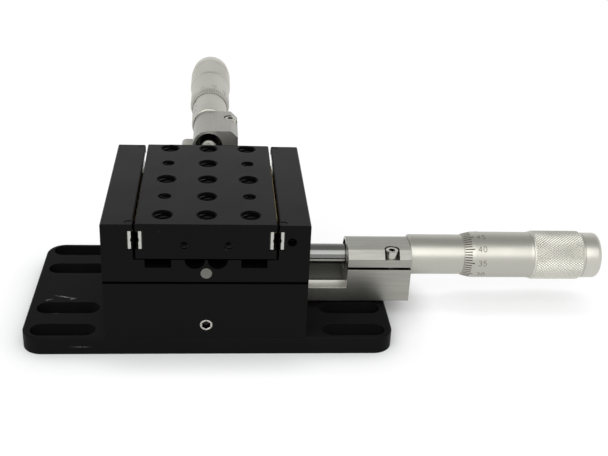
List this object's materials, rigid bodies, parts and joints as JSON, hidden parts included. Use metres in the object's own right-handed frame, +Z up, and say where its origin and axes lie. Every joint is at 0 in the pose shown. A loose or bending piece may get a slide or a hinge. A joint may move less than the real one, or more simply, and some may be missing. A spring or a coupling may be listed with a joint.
{
  "type": "two-axis micrometer translation stage",
  "caption": "Two crossed ball-bearing translation stages on a slotted base plate, each driven by a micrometer in a clamp bracket, with a tapped hole grid on top.",
  "frame": {"origin": "under the middle of the two stage bodies, on the underside of the base plate", "axes": "+X towards the lower stage's micrometer, +Y towards the upper stage's micrometer, +Z up"},
  "size_m": [0.1836, 0.1585, 0.0457],
  "materials": {
    "anodised": "black anodised, satin",
    "base_anodised": "black anodised, satin",
    "bracket_steel": "milled stainless steel",
    "satin_chrome": "satin chrome",
    "spindle_steel": "ground and lapped",
    "rail_steel": "hardened and ground",
    "pin_steel": "ground",
    "screw_steel": "stainless steel, plain",
    "spring_steel": "drawn wire",
    "ball_steel": "polished",
    "brass": "machined"
  },
  "bodies": {
    "base": {"base_plate": "base_anodised", "lower_body": "anodised", "lower_wall_rails": "rail_steel", "lower_wall_shims": "rail_steel", "lower_rail_pins": "pin_steel", "lower_preload_screw": "screw_steel", "lower_side_set_screw": "screw_steel", "lower_dowel_pin": "pin_steel", "lower_body_screws": "screw_steel", "lower_body_spring_pins": "pin_steel", "lower_springs": "spring_steel", "lower_bracket": "bracket_steel", "lower_bracket_screws": "screw_steel", "lower_clamp_screw": "screw_steel", "lower_micrometer_sleeve": "satin_chrome", "lower_thread_nut": "brass"},
    "lower_stage": {"lower_carriage": "anodised", "lower_carriage_rails": "rail_steel", "lower_carriage_shims": "rail_steel", "lower_carriage_spring_pins": "pin_steel", "lower_contact_pad": "pin_steel", "upper_body": "anodised", "upper_wall_rails": "rail_steel", "upper_wall_shims": "rail_steel", "upper_rail_pins": "pin_steel", "upper_preload_screw": "screw_steel", "upper_side_set_screw": "screw_steel", "upper_dowel_pin": "pin_steel", "upper_body_screws": "screw_steel", "upper_body_spring_pins": "pin_steel", "upper_springs": "spring_steel", "upper_bracket": "bracket_steel", "upper_bracket_screws": "screw_steel", "upper_clamp_screw": "screw_steel", "upper_micrometer_sleeve": "satin_chrome", "upper_thread_nut": "brass"},
    "upper_stage": {"upper_carriage": "anodised", "upper_carriage_rails": "rail_steel", "upper_carriage_shims": "rail_steel", "upper_carriage_spring_pins": "pin_steel", "upper_contact_pad": "pin_steel"},
    "lower_thimble": {"lower_spindle": "spindle_steel", "lower_thimble": "satin_chrome", "lower_thimble_cap": "satin_chrome"},
    "upper_thimble": {"upper_spindle": "spindle_steel", "upper_thimble": "satin_chrome", "upper_thimble_cap": "satin_chrome"},
    "lower_ball_cages": {"lower_balls": "ball_steel", "lower_ball_cages": "brass"},
    "upper_ball_cages": {"upper_balls": "ball_steel", "upper_ball_cages": "brass"}
  },
  "joints": [
    {"name": "lower_slide", "type": "slide", "parent": "base", "child": "lower_stage", "axis": [1, 0, 0], "range_m": [-0.0125, 0.0125], "deforming": ["lower_springs"]},
    {"name": "lower_thimble_spin", "type": "hinge", "parent": "lower_stage", "child": "lower_thimble", "pos_m": [0.0648, 0, 0.0187], "axis": [1, 0, 0], "range_deg": [-9000, 9000]},
    {"name": "lower_cage_slide", "type": "slide", "parent": "base", "child": "lower_ball_cages", "axis": [1, 0, 0], "range_m": [-0.00625, 0.00625]},
    {"name": "upper_slide", "type": "slide", "parent": "lower_stage", "child": "upper_stage", "axis": [0, 1, 0], "range_m": [-0.0125, 0.0125], "deforming": ["upper_springs"]},
    {"name": "upper_thimble_spin", "type": "hinge", "parent": "upper_stage", "child": "upper_thimble", "pos_m": [0, 0.0648, 0.0377], "axis": [0, 1, 0], "range_deg": [-9000, 9000]},
    {"name": "upper_cage_slide", "type": "slide", "parent": "lower_stage", "child": "upper_ball_cages", "axis": [0, 1, 0], "range_m": [-0.00625, 0.00625]}
  ],
  "couplings": [
    {"joint": "lower_thimble_spin", "follows": "lower_slide", "rad_per_m": 12566},
    {"joint": "lower_cage_slide", "follows": "lower_slide", "ratio": 0.5},
    {"joint": "upper_thimble_spin", "follows": "upper_slide", "rad_per_m": 12566},
    {"joint": "upper_cage_slide", "follows": "upper_slide", "ratio": 0.5}
  ]
}
